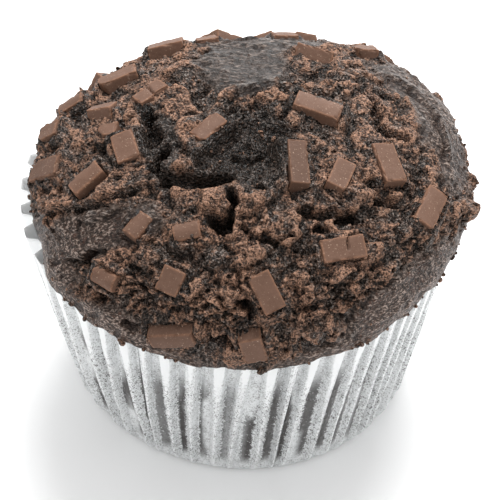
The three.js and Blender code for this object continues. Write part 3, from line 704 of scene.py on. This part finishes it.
def cake_material():
    n = Nodes("chocolate_cake")
    torn, cavity, moist, dry = n.mark("torn"), n.mark("cavity"), n.mark("moist"), n.mark("dry")
    grain = n.span(n.noise(0.34, 1, 0.5), 0.36, 0.64, -1.0, 1.0)
    fine_grain = n.span(n.noise(0.2, 1, 0.5), 0.35, 0.65, -1.0, 1.0)
    clump = n.span(n.noise(0.9, 2, 0.6), 0.3, 0.7, -1.0, 1.0)
    patch = n.span(n.noise(3.2, 2, 0.5), 0.35, 0.65)
    speck = n.noise(0.3, 2, 0.7)
    # Pores: bumps, filled with painted shade by the colours below
    pits = n.span(n.spots(0.75, n.bent(0.8, 0.3)), 0.1, 0.4, -1.0, 0.1)
    tiny_pits = n.span(n.spots(0.42, n.bent(0.5, 0.2)), 0.08, 0.34, -1.0, 0.0)

    # The skin's grain runs in streaks, coarser near the top
    stretched = n.vector("MULTIPLY", {0: n.place, 1: (0.45, 1, 1)})
    height = n.add("ShaderNodeSeparateXYZ", {0: n.place}).outputs["Z"]
    streak = n.span(n.noise(0.3, 2, 0.6, place=stretched), 0.36, 0.64, -1.0, 1.0)
    top_streak = n.span(n.noise(0.6, 3, 0.7, place=stretched), 0.38, 0.62, -1.0, 1.0)
    streak = n.blend(n.span(height, 48 * MM, 54 * MM), streak, top_streak)

    # Moist crumb: nearly black, with painted shade in its hollows and pores and small painted grey glints
    wet_height = n.total((cavity, 0.45), (grain, 0.85), (pits, 0.35))
    wet_crumb = n.mix(n.span(wet_height, -0.6, 0.3), (0.005, 0.004, 0.003, 1), (0.058, 0.039, 0.030, 1))
    # Painted grey glints where the grain is highest
    wet_crumb = n.mix(n.span(wet_height, 0.42, 1.05), wet_crumb, (0.215, 0.19, 0.172, 1))

    # Dry crumb: red brown with pale grains, painted shade in its pores and hollows and painted light on its
    # crests
    dry_height = n.total((cavity, 0.7), (grain, 0.5), (fine_grain, 0.2), (clump, 0.3), (pits, 0.7),
                         (tiny_pits, 0.6))
    dry_crumb = n.mix(n.span(dry_height, -0.85, 0.0), (0.004, 0.002, 0.002, 1), (0.100, 0.053, 0.034, 1))
    # Lighter on the crests, partly grain and partly painted light
    dry_crumb = n.mix(n.span(dry_height, 0.0, 0.65), dry_crumb, (0.33, 0.182, 0.118, 1))
    dry_crumb = n.mix(n.span(speck, 0.62, 0.72, 0.0, 0.85), dry_crumb, (0.50, 0.34, 0.25, 1))
    share = n.math("ADD", dry, n.span(n.noise(0.8, 2, 0.6), 0.35, 0.65, -0.25, 0.25), clamp=True)
    crumb = n.mix(share, wet_crumb, dry_crumb)

    # Baked skin: grey brown with a fine pale grain and reddish holes, painted sheen on its crests, and
    # painted shade in its hollows and pores and on its top
    bed = n.total((streak, 0.62), (clump, 0.3), (tiny_pits, 0.4))
    skin = n.mix(n.span(bed, -0.75, 0.05), (0.003, 0.002, 0.001, 1), (0.062, 0.038, 0.028, 1))
    skin = n.mix(n.span(bed, 0.1, 0.7), skin, (0.37, 0.285, 0.24, 1))
    skin = n.mix(n.times(n.span(pits, 0.1, -0.6), patch), skin, (0.070, 0.030, 0.018, 1))
    # Painted shade, darker towards the top, against the light that falls there
    skin = n.mix(n.span(height, 44 * MM, 57 * MM, 0.0, 0.64), skin, (0.003, 0.002, 0.001, 1))
    # Painted sheen on the skin's crests
    crest_sheen = n.times(n.span(cavity, 0.12, 0.36, 0.0, 0.55), n.span(streak, -0.3, 0.6))
    skin = n.mix(crest_sheen, skin, (0.215, 0.197, 0.184, 1))
    # Painted shade in the skin's hollows
    skin = n.mix(n.span(cavity, -0.25, 0.0, 0.75, 0.0), skin, (0.012, 0.007, 0.006, 1))

    color = n.mix(torn, skin, crumb)
    color = n.mix(n.times(moist, 0.45), color, (0.006, 0.005, 0.004, 1))
    skin_rough = n.span(speck, 0.3, 0.7, 0.36, 0.52)
    crumb_rough = n.blend(dry, n.span(speck, 0.3, 0.7, 0.22, 0.4), 0.58)
    rough = n.blend(torn, skin_rough, crumb_rough)
    rough = n.blend(moist, rough, n.span(speck, 0.3, 0.7, 0.2, 0.36))
    fine = n.bump(n.blend(torn, streak, grain), n.blend(torn, 0.04, 0.07))
    holes = n.bump(n.total((pits, 1.0), (tiny_pits, 0.4)), n.blend(torn, 0.06, 0.12), under=fine)
    lumps = n.bump(clump, n.blend(torn, 0.06, 0.14), under=holes)
    return n.finish(color, rough, lumps, Specular_IOR_Level=0.22)


def chocolate_material():
    n = Nodes("milk_chocolate")
    edge, tone = n.mark("edge"), n.mark("tone")
    cloud = n.noise(2.2, 3, 0.6)
    grain = n.noise(0.25, 3, 0.65)
    dust = n.noise(0.3, 2, 0.7)
    color = n.mix(n.span(cloud, 0.3, 0.7), (0.118, 0.064, 0.043, 1), (0.146, 0.081, 0.056, 1))
    color = n.mix(n.span(grain, 0.35, 0.7, 0.0, 0.35), color, (0.185, 0.110, 0.080, 1))
    worn = n.times(edge, n.span(dust, 0.35, 0.55, 0.15, 0.8))
    color = n.mix(worn, color, (0.25, 0.125, 0.074, 1))
    # A random tone, and painted shade on the chunks listed as darker
    color = n.mix(tone, color, (0.05, 0.028, 0.019, 1))
    color = n.mix(n.span(dust, 0.65, 0.70, 0.0, 0.8), color, (0.42, 0.30, 0.22, 1))
    rough = n.span(grain, 0.3, 0.7, 0.5, 0.7)
    fine = n.bump(n.noise(0.16, 2, 0.6), 0.03, 0.8)
    broad = n.bump(n.noise(0.8, 2, 0.5), 0.09, 0.8, fine)
    return n.finish(color, rough, broad, Specular_IOR_Level=0.15)


def paper_material():
    n = Nodes("greaseproof_paper")
    apart, wedge, free, stain = n.mark("apart"), n.mark("wedge"), n.mark("free"), n.mark("stain")
    speckle = n.noise(0.24, 2, 0.7)
    mottle = n.noise(1.3, 3, 0.6)
    edge = n.noise(0.7, 3, 0.65)

    # White where the ridges stand free of the cake, greyed and speckled where fat has soaked in
    reach = n.math("SUBTRACT", apart, n.times(wedge, 0.24))
    clear = n.span(n.math("ADD", reach, n.span(edge, 0.3, 0.7, -0.04, 0.04)), -0.03, 0.03, 1.0, 0.0)
    clear = n.math("MAXIMUM", clear, free)
    soak = n.times(n.math("SUBTRACT", 1.0, clear), n.span(mottle, 0.3, 0.7, 0.45, 1.1))
    color = n.mix(soak, (0.87, 0.89, 0.895, 1), (0.65, 0.668, 0.675, 1))
    light = n.times(n.span(speckle, 0.52, 0.36), soak)
    color = n.mix(n.times(light, 0.9), color, (0.80, 0.82, 0.825, 1))
    dots = n.span(n.math("ADD", speckle, n.times(soak, 0.1)), 0.60, 0.70)
    dots = n.times(dots, n.times(soak, 0.8, clamp=True))
    color = n.mix(dots, color, (0.14, 0.13, 0.125, 1))

    # Brown where the cake lies against the paper at the bottom of a fold
    patch = n.math("ADD", n.span(apart, 0.24, 0.40), n.span(edge, 0.3, 0.7, -0.4, 0.4))
    patch = n.math("ADD", patch, n.span(speckle, 0.35, 0.65, -0.5, 0.5))
    brown = n.times(n.span(patch, 0.2, 0.45), stain)
    color = n.mix(n.times(brown, 0.96), color, (0.020, 0.014, 0.012, 1))
    fine = n.bump(n.noise(0.3, 3, 0.6), 0.03, 0.4)
    broad = n.bump(n.noise(2.4, 2, 0.5), 0.12, 0.5, fine)
    rough = n.span(mottle, 0.3, 0.7, 0.42, 0.6)
    return n.finish(color, rough, broad, Subsurface_Weight=0.55, Subsurface_Scale=0.5 * MM,
                    Subsurface_Radius=(1.0, 1.0, 1.0))


def stage_material():
    n = Nodes("pale_floor")
    color = n.mix(n.noise(60, 2, 0.5), (0.94, 0.94, 0.94, 1), (0.96, 0.96, 0.96, 1))
    return n.finish(color, n.span(n.noise(30, 2, 0.5), 0.3, 0.7, 0.7, 0.8), n.bump(n.noise(1.5), 0.02, 0.1))


cake = cake_material()
chocolate = chocolate_material()
paper = paper_material()


# The chunks' places, as in the solid model apart from the sunk ones

def back_chunks():
    rows = []
    for i in range(BACK_CHUNKS):
        shake = random_at(i, np.arange(9), 21) - 0.5
        bearing = radians(lerp(BACK_FROM, BACK_TO, (i + 0.5) / BACK_CHUNKS) + 6 * shake[1])
        length = BACK_LENGTHS[i % 2] + 2 * shake[2]
        place = (length * cos(bearing), length * sin(bearing))
        size = (6.4 + 2 * shake[4], 3.8 + 0.4 * shake[5])
        out = BACK_OUT + 0.5 * shake[6] - (SUNK if i >= SUNK_FROM else 0)
        rows.append((place, 180 * (shake[3] + 0.5), size, out, 10 * shake[7], 10 * shake[8]))
    return rows


def turned(vector, axis, angle):
    return vector * cos(angle) + np.cross(axis, vector) * sin(angle)


def chunk_frame(at, heading, size, out, pitch=0, roll=0):
    """Middle of a chunk, and its axes as rows: along, across, out."""
    x, y = np.array(at[0], float), np.array(at[1], float)
    right, up = map_axes(x, y)
    along = turned(right, up, radians(heading))
    across = np.cross(up, along)
    middle = map_point(x, y) + up * (out - CHUNK_THICKNESS / 2)
    p, r = radians(pitch), radians(roll)
    tipped_along = along * cos(p) + up * sin(p)
    level_up = np.cross(tipped_along, across)
    tipped_across = across * cos(r) + level_up * sin(r)
    return middle, np.array([tipped_along, tipped_across, np.cross(tipped_along, tipped_across)])


ALL_CHUNKS = CHUNKS + back_chunks()
CHUNK_FRAMES = [chunk_frame(*row) for row in ALL_CHUNKS]


def settle_round_chunks(points):
    """Shapes the crumb to each chunk: close under its top, over its bottom, open on a side that shows."""
    bed = np.zeros(len(points))
    covered = np.zeros(len(points), bool)
    for number, ((middle, axes), row) in enumerate(zip(CHUNK_FRAMES, ALL_CHUNKS), 1):
        near = np.flatnonzero(np.linalg.norm(points - middle, axis=1) < CHUNK_REACH)
        local = (points[near] - middle) @ axes.T
        reach = np.abs(local[:, :2]) - np.array(row[2]) / 2
        away = np.linalg.norm(np.maximum(reach, 0), axis=1) + np.minimum(reach.max(axis=1), 0)
        top = CHUNK_THICKNESS / 2
        opened = np.zeros(len(near))
        if number in OPEN_SIDES:
            facing = radians(OPEN_SIDES[number] - row[1])
            outward = unit(np.sign(local[:, :2]) * np.maximum(reach, 1e-6))
            opened = smoothstep(0.35, 0.8, outward @ np.array([cos(facing), sin(facing)]))
        wobble = 0.45 * layered_noise(local[:, 0] + 9 * row[1], local[:, 1], 1.3, 7, 2)
        ceiling = top - lerp(0.3, 0.0, smoothstep(0.2, 2, away)) + wobble
        ceiling = lerp(ceiling, top - 1.3, opened * smoothstep(2, 1, away))
        ceiling = np.where(away < 0.05, top - 1.0, ceiling)
        edge_ground = lerp(top - 0.5, top - 2.1, opened)
        ground = lerp(edge_ground, -top - 0.6, smoothstep(0.5, 2.4, away)) + wobble
        if number > len(CHUNKS):
            ground -= BACK_GROUND_DROP
        share = smoothstep(2.1, 0.9, away)
        target = np.clip(local[:, 2], ground, np.maximum(ceiling, ground + 0.1))
        gap = smoothstep(-0.25, 0.35, gradient_noise(local[:, 0], local[:, 1] + 5 * number, 2.2, 8))
        crevice = 0.7 * gap * np.exp(-((away - 0.24) / 0.22) ** 2)
        shift = share * (target - local[:, 2]) - crevice
        points[near] += shift[:, None] * axes[2]
        bed[near] = np.maximum(bed[near], smoothstep(0.8, 0.1, away))
        covered[near] |= away < 0.25
    return points, bed, covered


def crown_grid():
    """Rings of points from the top down to the lip: their counts, and each point's bearing and length."""
    counts, bearings, lengths = [1], [np.zeros(1)], [np.zeros(1)]
    for k in range(1, DOME_RINGS + 1):
        counts.append(6 * k)
        bearings.append(np.arange(6 * k) / (6 * k) * 2 * pi)
        lengths.append(np.full(6 * k, DOME_LENGTH * k / DOME_RINGS))
    around = bearings[-1]
    room = SHOULDER_HEIGHT - lip_height(around)
    for k in range(1, SIDE_RINGS + 1):
        counts.append(len(around))
        bearings.append(around)
        lengths.append(DOME_LENGTH + room * k / SIDE_RINGS)
    return counts, around, np.concatenate(bearings), np.concatenate(lengths)


def cake_below(around):
    """Three loops below the lip, where the cake turns in and goes down inside the case, and its middle."""
    turn_in = lip_height(around) + lerp(-0.7, 0.3, overhang(around))
    foot = FOOT_RISE + 1.2
    loops = []
    for radius, z in (
        (neck_radius(np.minimum(turn_in, RIM_HEIGHT)), turn_in),
        (neck_radius(foot) - FOOT_DENT, foot),
        (FOOT_RADIUS - 2, CASE_ROOM),
    ):
        heights = np.full_like(around, z)
        loops.append(np.stack([radius * np.cos(around), radius * np.sin(around), heights], -1))
    return np.concatenate([*loops, [[0, 0, CASE_ROOM]]])


def make_muffin():
    counts, around, bearing, length = crown_grid()
    x, y = length * np.cos(bearing), length * np.sin(bearing)
    torn = torn_share(x, y)
    lip_length = DOME_LENGTH + (SHOULDER_HEIGHT - lip_height(bearing))
    fade = smoothstep(lip_length, lip_length - 4, length)
    main = main_relief(x, y, torn)
    moist = np.zeros_like(x)
    ragged = 0.2 * layered_noise(x, y, 3, 98)
    for patch in MOIST:
        moist = np.maximum(moist, smoothstep(-0.05, 0.3, inside(x, y, *patch) + ragged))
    fine, step = fine_relief(x, y, torn, moist)
    right, out = map_axes(np.where(length == 0, 0.01, x), y)
    points = crown_point(bearing, length)
    points += out * (fade * main + lerp(0.35, 1, fade) * fine)[:, None]
    points += right * (0.3 * torn * gradient_noise(x, y, 1.2, 91))[:, None]
    points[:, 2] += (1 - fade) * 0.7 * layered_noise(bearing * 30, length * 0.3, 4, 95, 3)
    points, bed, covered = settle_round_chunks(points)
    below = cake_below(around)
    extra = len(below)
    faces = stitch([*counts, *[len(around)] * 3, 1])

    # How low a point lies beside its neighbours, painted as shade where low and as light where high, and how
    # dry its crumb is
    height = fade * main * 0.25 + fine
    blur = neighbour_mean(np.concatenate([height, np.zeros(extra)]), faces, CAVITY_ROUNDS)[:-extra]
    # Lower still in the furrows and beside the chunks, for painted shade there
    cavity = np.clip(1.4 * (height - blur) + 0.22 * np.minimum(main, 0.5) - 0.1 * bed, -1.4, 1)
    dry = smoothstep(-0.35, 0.4, 0.5 * step + 0.8 * cavity + 0.5 * layered_noise(x, y, 5, 103) - moist)
    points = np.concatenate([points, below])
    piece = make_piece("muffin_crumb", points, faces, cake, "cake", cavity=cavity, moist=moist,
                       torn=np.concatenate([torn, np.ones(extra)]), dry=dry * torn)
    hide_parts("muffin")
    return points[:-extra], vertex_normals(points, faces)[:-extra], torn, bed, covered


def box_mesh(half):
    """A box's surface as a grid of quads, finer towards its edges, with worn edges."""
    counts = np.maximum(6, np.round(2 * half / CHUNK_STEP)).astype(int)
    corners = []
    for axis in range(3):
        a, b = (axis + 1) % 3, (axis + 2) % 3
        i, j = np.meshgrid(np.arange(counts[a]), np.arange(counts[b]), indexing="ij")
        for end in (0, 1):
            quad = []
            for di, dj in ((0, 0), (1, 0), (1, 1), (0, 1)):
                place = np.zeros((i.size, 3), int)
                place[:, axis] = end * counts[axis]
                place[:, a] = (i + di).ravel()
                place[:, b] = (j + dj).ravel()
                quad.append(place)
            corners.append(np.stack(quad if end else quad[::-1], 1))
    places, index = np.unique(np.concatenate(corners).reshape(-1, 3), axis=0, return_inverse=True)
    share = 2 * places / counts - 1
    points = half * (0.5 * share + 0.5 * np.sin(share * pi / 2))
    core = np.clip(points, WORN - half, half - WORN)
    return core + WORN * unit(points - core), index.reshape(-1, 4)


def make_chunk(number):
    middle, axes = CHUNK_FRAMES[number - 1]
    half = np.array([*ALL_CHUNKS[number - 1][2], CHUNK_THICKNESS]) / 2
    points, faces = box_mesh(half)
    seed = 100 + 10 * number
    normals = vertex_normals(points, faces)
    rest = np.sort(half - np.abs(points), axis=1)
    edge = smoothstep(0.4, 0.08, rest[:, 1])
    u, v, w = points.T.copy()
    swell = 0.05 * gradient_noise(u + w, v - w, 3.2, seed)
    swell += 0.02 * gradient_noise(u - w, v + w, 0.8, seed + 1)
    chips = edge * 0.3 * smoothstep(0.15, 0.55, gradient_noise(u + 2 * w, v + w, 1.1, seed + 2))
    dent = edge * 0.35 * smoothstep(0.5, 0.75, gradient_noise(u, v + w, 2.2, seed + 3))
    points += normals * (swell - chips - dent)[:, None]
    if number in CRACKED:
        place, gap, run = CRACKED[number]
        line = place * half[0] + 0.3 * gradient_noise(v, w, 1.2, seed + 4) + 0.15 * v
        reach = smoothstep(1 - 2 * run - 0.1, 1 - 2 * run + 0.1, v / half[1])
        points -= normals * (1.1 * reach * np.exp(-((u - line) / gap) ** 2))[:, None]
        points[:, 1] += np.where((u > line) & (run > 0.9), 0.3, 0)
    if number in ROUND_BACKED:
        points[:, 2] -= ROUND_BACKED[number] * (v / half[1]) ** 2 * smoothstep(-1, 1, w / half[2])
    points[:, :2] *= (1 - 0.025 * w / half[2])[:, None]
    for end, side, amount in BROKEN.get(number, ()):
        ragged = 0.2 * gradient_noise(u + w, v - w, 0.9, seed + 5)
        over = end * points[:, 0] + side * points[:, 1] - (half[0] + half[1] - amount + ragged)
        over = np.maximum(0, over) / 2
        points[:, 0] -= end * over
        points[:, 1] -= side * over
    placed = points @ axes + middle
    # A random tone, or painted shade for the chunks listed as darker
    tone = np.full(len(points), DARKER.get(number, 0.1 * float(random_at(number, 3, 55))))
    name = f"chocolate_{number:02d}"
    piece = make_piece(name, placed, faces, chocolate, "chocolate", edge=edge, tone=tone)
    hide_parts(f"chunk_{number:02d}")


def lump(seed):
    """A small irregular crumb: a ball of 42 points, dented and stretched."""
    ball = bmesh.new()
    bmesh.ops.create_icosphere(ball, subdivisions=2, radius=1)
    points = np.array([v.co[:] for v in ball.verts])
    faces = np.array([[v.index for v in f.verts] for f in ball.faces])
    ball.free()
    shape = np.random.default_rng(seed)
    bumps = unit(shape.normal(size=(7, 3)))
    for bump in bumps:
        points *= (1 + shape.uniform(-0.35, 0.3) * smoothstep(0.3, 1, points @ bump))[:, None]
    return points * shape.uniform(0.6, 1.2, 3), faces


def make_crumbs(places, outward, sizes):
    """Small lumps at the places given, each turned at random."""
    shapes = [lump(seed) for seed in range(CRUMB_SHAPES)]
    all_points, all_faces, shades = [], [], []
    start = 0
    for place, out, size in zip(places, outward, sizes):
        points, faces = shapes[rng.integers(len(shapes))]
        turn = np.linalg.qr(rng.normal(size=(3, 3)))[0]
        all_points.append(points @ turn * size + place + out * size * 0.1)
        all_faces.append(faces + start)
        shades.append(np.full(len(points), rng.uniform(-0.5, 0.5)))
        start += len(points)
    shade = np.concatenate(shades)
    make_piece("crumbs", np.concatenate(all_points), np.concatenate(all_faces), cake, "cake",
               cavity=shade, torn=np.ones_like(shade), dry=np.full_like(shade, 0.7))


def strew_crumbs(points, normals, torn, bed, covered):
    """Loose crumb on the torn parts, more of it round the chunks and along the lip."""
    facing = (normals[:, 2] > -0.3) & ~covered
    weight = (torn + 0.03) * (1 + 2.5 * bed) * facing
    loose = rng.choice(len(points), LOOSE_CRUMBS, replace=False, p=weight / weight.sum())
    loose_sizes = rng.gamma(2.5, 0.07, LOOSE_CRUMBS).clip(0.1, 0.5)
    bearing = np.arctan2(points[:, 1], points[:, 0])
    low = (points[:, 2] < lip_height(bearing) + 0.5) & (overhang(bearing) > 0.5)
    hanging = rng.choice(np.flatnonzero(low), HANGING_CRUMBS, replace=False)
    picks = np.concatenate([loose, hanging])
    sizes = np.concatenate([loose_sizes, rng.uniform(0.2, 0.55, HANGING_CRUMBS)])
    make_crumbs(points[picks], normals[picks], sizes)


points, normals, torn, bed, covered = make_muffin()
for number in range(1, len(ALL_CHUNKS) + 1):
    make_chunk(number)
strew_crumbs(points, normals, torn, bed, covered)


# The paper case

# Across one pleat: rise from the bottom of the fold to the ridge, and the place at the foot and at the rim
HALF_PLEAT = ((0.0, 0.16, 0.1), (0.06, 0.28, 0.17), (0.8, 0.42, 0.27), (0.97, 0.46, 0.31))
OTHER_HALF = [(rise, 1 - foot, 1 - rim) for rise, foot, rim in reversed(HALF_PLEAT)]
PLEAT_POINTS = ((0.0, 0.0, 0.0), *HALF_PLEAT, (1.0, 0.5, 0.5), *OTHER_HALF)

# The paper's own pleats are deeper than the solid model's, and wider round one bearing
PAPER_DEPTH_BASE = 0.95
PAPER_DEPTH_RIM = 1.8
WIDE_BEARING = radians(190)
PAPER_ROWS = 60
PAPER_THICKNESS = 0.12
BASE_RINGS = (0.75, 0.4)


def paper_wall():
    """The pleated wall in rows from the foot to the rim, with each point's place across its pleat, its
    pleat, and the height and the bearing of the rim above it."""
    turn = np.arange(PLEATS) / PLEATS * 2 * pi
    widening = 1 + 0.6 * np.exp(-(wrapped(turn - WIDE_BEARING) / 0.4) ** 2)
    widths = rng.uniform(0.78, 1.25, PLEATS) * widening
    edges = np.concatenate([[0], np.cumsum(widths)]) / widths.sum()
    pleat = np.repeat(np.arange(PLEATS), len(PLEAT_POINTS))
    folds_up, at_foot, at_rim = np.tile(np.array(PLEAT_POINTS).T, PLEATS)
    strength = rng.uniform(0.75, 1.25, PLEATS)[pleat]
    lean = rng.normal(0, radians(0.8), PLEATS)[pleat]
    shift = rng.normal(0, 0.05, PLEATS)[pleat]
    rim_bearing = lerp(edges[pleat], edges[pleat + 1], at_rim) * 2 * pi
    rim = np.minimum(RIM_HEIGHT, lip_height(rim_bearing) - 0.55)
    rim = rim + 0.25 * np.sin(rim_bearing * 13) * (rim >= RIM_HEIGHT - 0.01)
    z = PAPER_THICKNESS + (rim - PAPER_THICKNESS) * np.linspace(0, 1, PAPER_ROWS)[:, None] ** 1.1
    up = np.clip(up_the_case(z), 0, 1)
    place = lerp(at_foot, at_rim, smoothstep(0.15, 0.95, up))
    place = place + shift * np.sin(place * pi) * (1 - up)
    twist = (PLEAT_TWIST - lean) * (1 - z / RIM_HEIGHT)
    bearing = lerp(edges[pleat], edges[pleat + 1], place) * 2 * pi - twist
    depth = lerp(PAPER_DEPTH_BASE, PAPER_DEPTH_RIM, up) * strength * smoothstep(0, 2.5, z)
    dent = FOOT_DENT * np.maximum(0, np.cos(bearing - FOOT_DENT_BEARING)) ** 4 * smoothstep(16, 2, z)
    foot = lerp(FOOT_RADIUS, case_radius(FOOT_RISE), np.sqrt(np.clip(z / FOOT_RISE, 0, 1)))
    outer = np.where(z < FOOT_RISE, foot, case_radius(z))
    wave = 0.12 * layered_noise(bearing * 32, z * 0.6, 5, 201, 3)
    radius = outer - depth * (1 - folds_up) - dent + wave
    wall = np.stack([radius * np.cos(bearing), radius * np.sin(bearing), z], -1)
    return wall, place, pleat, rim, rim_bearing


def paper_marks(z, place, pleat, rim, rim_bearing):
    """How far across the fold a point lies from the ridge, and where the paper is clear or stained."""
    start = 23 + 3 * rng.normal(size=PLEATS).clip(-1.5, 1.5)[pleat]
    wedge = np.clip((z - start) / 11, 0, 1) * rng.uniform(0.55, 1.2, PLEATS)[pleat]
    free = (1 - overhang(rim_bearing)) * smoothstep(12, 4, rim - z)
    amount = rng.uniform(0.6, 1.15, PLEATS)[pleat].clip(0, 1)
    amount = amount * smoothstep(-168, -140, np.degrees(wrapped(rim_bearing)))
    patch = layered_noise(rim_bearing * 34, z * 0.14, 3.2, 211, 3)
    stain = amount * smoothstep(2, 5, z) * smoothstep(29, 21, z) * smoothstep(-0.6, -0.25, patch)
    return {"apart": np.abs(place - 0.5), "wedge": wedge, "free": free, "stain": stain}


def paper_sheet(wall):
    """The wall and the flat base under it as one sheet of triangles."""
    rows, columns = wall.shape[:2]
    foot_row = wall[0]
    base = [foot_row * [share, share, 1] for share in BASE_RINGS]
    points = np.concatenate([*wall, *base, foot_row[:1] * [0, 0, 1]])
    grid = np.arange(len(points) - 1).reshape(-1, columns)
    loops = [*grid[:rows - 1:-1], *grid[:rows]]
    centre = np.full(columns, len(points) - 1)
    triangles = [np.stack([loops[0], centre, np.roll(loops[0], -1)], -1)]
    for low, high in zip(loops, loops[1:]):
        next_low, next_high = np.roll(low, -1), np.roll(high, -1)
        triangles.append(np.stack([low, next_low, next_high], -1))
        triangles.append(np.stack([low, next_high, high], -1))
    return points, np.concatenate(triangles)


def make_paper():
    wall, *places = paper_wall()
    marks = paper_marks(wall[..., 2], *places)
    points, triangles = paper_sheet(wall)
    piece = make_piece("paper_cup", points, triangles, paper, "paper", **marks)
    piece.data.set_sharp_from_angle(angle=radians(24))
    shell = piece.modifiers.new("sheet", "SOLIDIFY")
    shell.thickness = PAPER_THICKNESS * MM
    shell.offset = -1
    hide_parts("paper_case")


make_paper()


# Stage, light and camera

FLOOR_HALF = 3000
WORLD_STRENGTH = 0.94
LIGHT_TARGET = (0, 0, 40)
# Round lamps: name, place, width, power
LIGHTS = (("key", (60, 200, 480), 320, 3.0), ("back", (160, 600, 200), 450, 1.4))
CAMERA_ELEVATION = radians(43.81)
CAMERA_TARGET = (1.54, 0, 25.0)
CAMERA_DISTANCE = 520
CAMERA_LENS = 226.4


def make_stage():
    size = FLOOR_HALF
    floor = np.array([[-size, -size, 0], [size, -size, 0], [size, size, 0], [-size, size, 0]], float)
    mesh = bpy.data.meshes.new("floor")
    mesh.from_pydata((floor * MM).tolist(), [], [(0, 1, 2, 3)])
    mesh.materials.append(stage_material())
    piece = add_object("floor", mesh)


def area_light(name, place, width, power):
    data = bpy.data.lights.new(name, "AREA")
    data.shape = "DISK"
    data.size = width * MM
    data.energy = power
    lamp = add_object(name, data)
    lamp.location = Vector(place) * MM
    lamp.rotation_euler = (Vector(LIGHT_TARGET) - Vector(place)).to_track_quat("-Z", "Y").to_euler()


def make_world(strength):
    world = bpy.data.worlds.new("soft_white")
    world.use_nodes = True
    background = world.node_tree.nodes["Background"]
    background.inputs["Color"].default_value = (1, 1, 1, 1)
    background.inputs["Strength"].default_value = strength
    bpy.context.scene.world = world


def make_camera():
    data = bpy.data.cameras.new("camera")
    data.lens = CAMERA_LENS
    data.sensor_width = 36
    camera = add_object("camera", data)
    away = Vector((0, -cos(CAMERA_ELEVATION), sin(CAMERA_ELEVATION)))
    camera.location = (Vector(CAMERA_TARGET) + away * CAMERA_DISTANCE) * MM
    camera.rotation_euler = (pi / 2 - CAMERA_ELEVATION, 0, 0)
    bpy.context.scene.camera = camera


make_stage()
make_world(WORLD_STRENGTH)
for light in LIGHTS:
    area_light(*light)
make_camera()
bpy.context.scene.view_settings.view_transform = "Standard"
